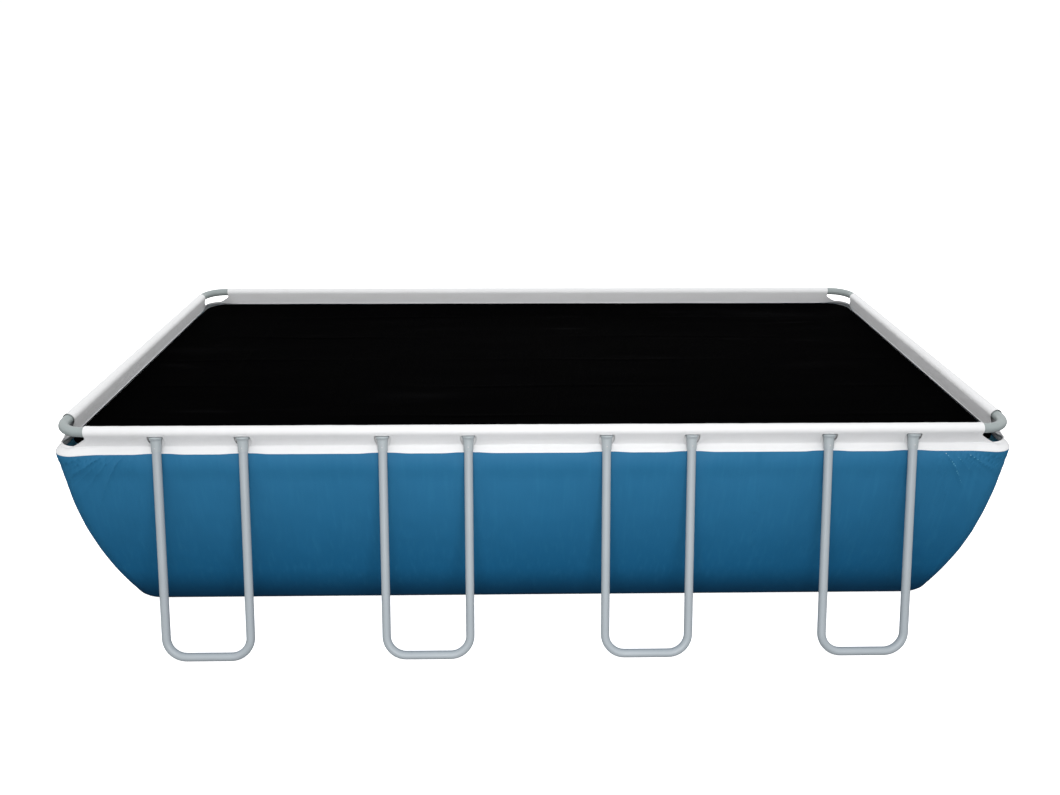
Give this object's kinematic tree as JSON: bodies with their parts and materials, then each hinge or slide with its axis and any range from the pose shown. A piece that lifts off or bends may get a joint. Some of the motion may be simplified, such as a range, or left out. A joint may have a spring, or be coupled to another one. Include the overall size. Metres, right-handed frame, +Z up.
{
  "type": "above-ground frame pool with floating cover",
  "caption": "Rectangular above-ground pool: tubular rail on U-shaped legs, hung sheet liner and a floating cover lying on its water line.",
  "frame": {"origin": "on the ground, under the middle of the pool", "axes": "+X along the long sides, +Y towards the back long side, +Z up; the front long side faces -Y"},
  "size_m": [5.553, 3.5078, 1.32],
  "materials": {
    "rail_tube": "light grey powder coat, hidden in the sleeves",
    "elbow": "satin light grey powder coat",
    "leg_tube": "satin light grey powder coat",
    "collar": "moulded light grey plastic",
    "spring_button": "plain steel",
    "white_sheet": "white laminated sheet, satin",
    "blue_sheet": "blue laminated sheet, satin",
    "floor_sheet": "blue laminated sheet, satin",
    "black_cover": "black film with small bubbles, faint creases",
    "port_plastic": "moulded black plastic",
    "grey_plastic": "moulded light grey plastic",
    "washer_rubber": "plain rubber"
  },
  "bodies": {
    "pool": {"beam_front_1": "rail_tube", "beam_front_2": "rail_tube", "beam_front_3": "rail_tube", "beam_front_4": "rail_tube", "u_support_front_1": "leg_tube", "u_support_front_2": "leg_tube", "u_support_front_3": "leg_tube", "u_support_front_4": "leg_tube", "leg_collars_front": "collar", "rail_sleeve_front": "white_sheet", "top_band_front": "white_sheet", "liner_wall_front": "blue_sheet", "beam_right_1": "rail_tube", "beam_right_2": "rail_tube", "rail_sleeve_right": "white_sheet", "top_band_right": "white_sheet", "liner_wall_right": "blue_sheet", "beam_back_1": "rail_tube", "beam_back_2": "rail_tube", "beam_back_3": "rail_tube", "beam_back_4": "rail_tube", "u_support_back_1": "leg_tube", "u_support_back_2": "leg_tube", "u_support_back_3": "leg_tube", "u_support_back_4": "leg_tube", "leg_collars_back": "collar", "rail_sleeve_back": "white_sheet", "top_band_back": "white_sheet", "liner_wall_back": "blue_sheet", "beam_left_1": "rail_tube", "beam_left_2": "rail_tube", "rail_sleeve_left": "white_sheet", "top_band_left": "white_sheet", "liner_wall_left": "blue_sheet", "elbow_front_left": "elbow", "elbow_front_right": "elbow", "elbow_back_right": "elbow", "elbow_back_left": "elbow", "liner_floor": "floor_sheet", "inlet_connector": "port_plastic", "inlet_nut": "port_plastic", "outlet_connector": "port_plastic", "outlet_nut": "port_plastic", "drain_body": "port_plastic", "inlet_grid": "grey_plastic", "port_washers": "washer_rubber"},
    "cover": {"floating_cover": "black_cover"},
    "nozzle": {"outlet_nozzle": "grey_plastic"},
    "drain_cap": {"drain_cap": "port_plastic"},
    "drain_plug": {"drain_plug": "grey_plastic"},
    "buttons_front": {"spring_buttons_front": "spring_button"},
    "buttons_right": {"spring_buttons_right": "spring_button"},
    "buttons_back": {"spring_buttons_back": "spring_button"},
    "buttons_left": {"spring_buttons_left": "spring_button"}
  },
  "joints": [
    {"name": "cover_lift", "type": "slide", "parent": "pool", "child": "cover", "axis": [0, 0, 1], "range_m": [0, 0.45]},
    {"name": "nozzle_swivel", "type": "hinge", "parent": "pool", "child": "nozzle", "pos_m": [2.74533, 0.15, 0.9588], "axis": [0.0299, 0, 0.9996], "range_deg": [-12, 12]},
    {"name": "drain_cap_turn", "type": "hinge", "parent": "pool", "child": "drain_cap", "pos_m": [2.60092, 0, 0.14035], "axis": [0.9463, 0, -0.3234], "continuous": true},
    {"name": "drain_plug_pull", "type": "slide", "parent": "pool", "child": "drain_plug", "axis": [-0.9463, 0, 0.3234], "range_m": [0, 0.05]},
    {"name": "buttons_front_press", "type": "slide", "parent": "pool", "child": "buttons_front", "axis": [0, 0.9551, -0.2964], "range_m": [0, 0.005], "stiffness_N_per_m": 400, "springref_m": -0.003},
    {"name": "buttons_right_press", "type": "slide", "parent": "pool", "child": "buttons_right", "axis": [-0.9551, 0, -0.2964], "range_m": [0, 0.005], "stiffness_N_per_m": 400, "springref_m": -0.003},
    {"name": "buttons_back_press", "type": "slide", "parent": "pool", "child": "buttons_back", "axis": [0, -0.9551, -0.2964], "range_m": [0, 0.005], "stiffness_N_per_m": 400, "springref_m": -0.003},
    {"name": "buttons_left_press", "type": "slide", "parent": "pool", "child": "buttons_left", "axis": [0.9551, 0, -0.2964], "range_m": [0, 0.005], "stiffness_N_per_m": 400, "springref_m": -0.003}
  ]
}
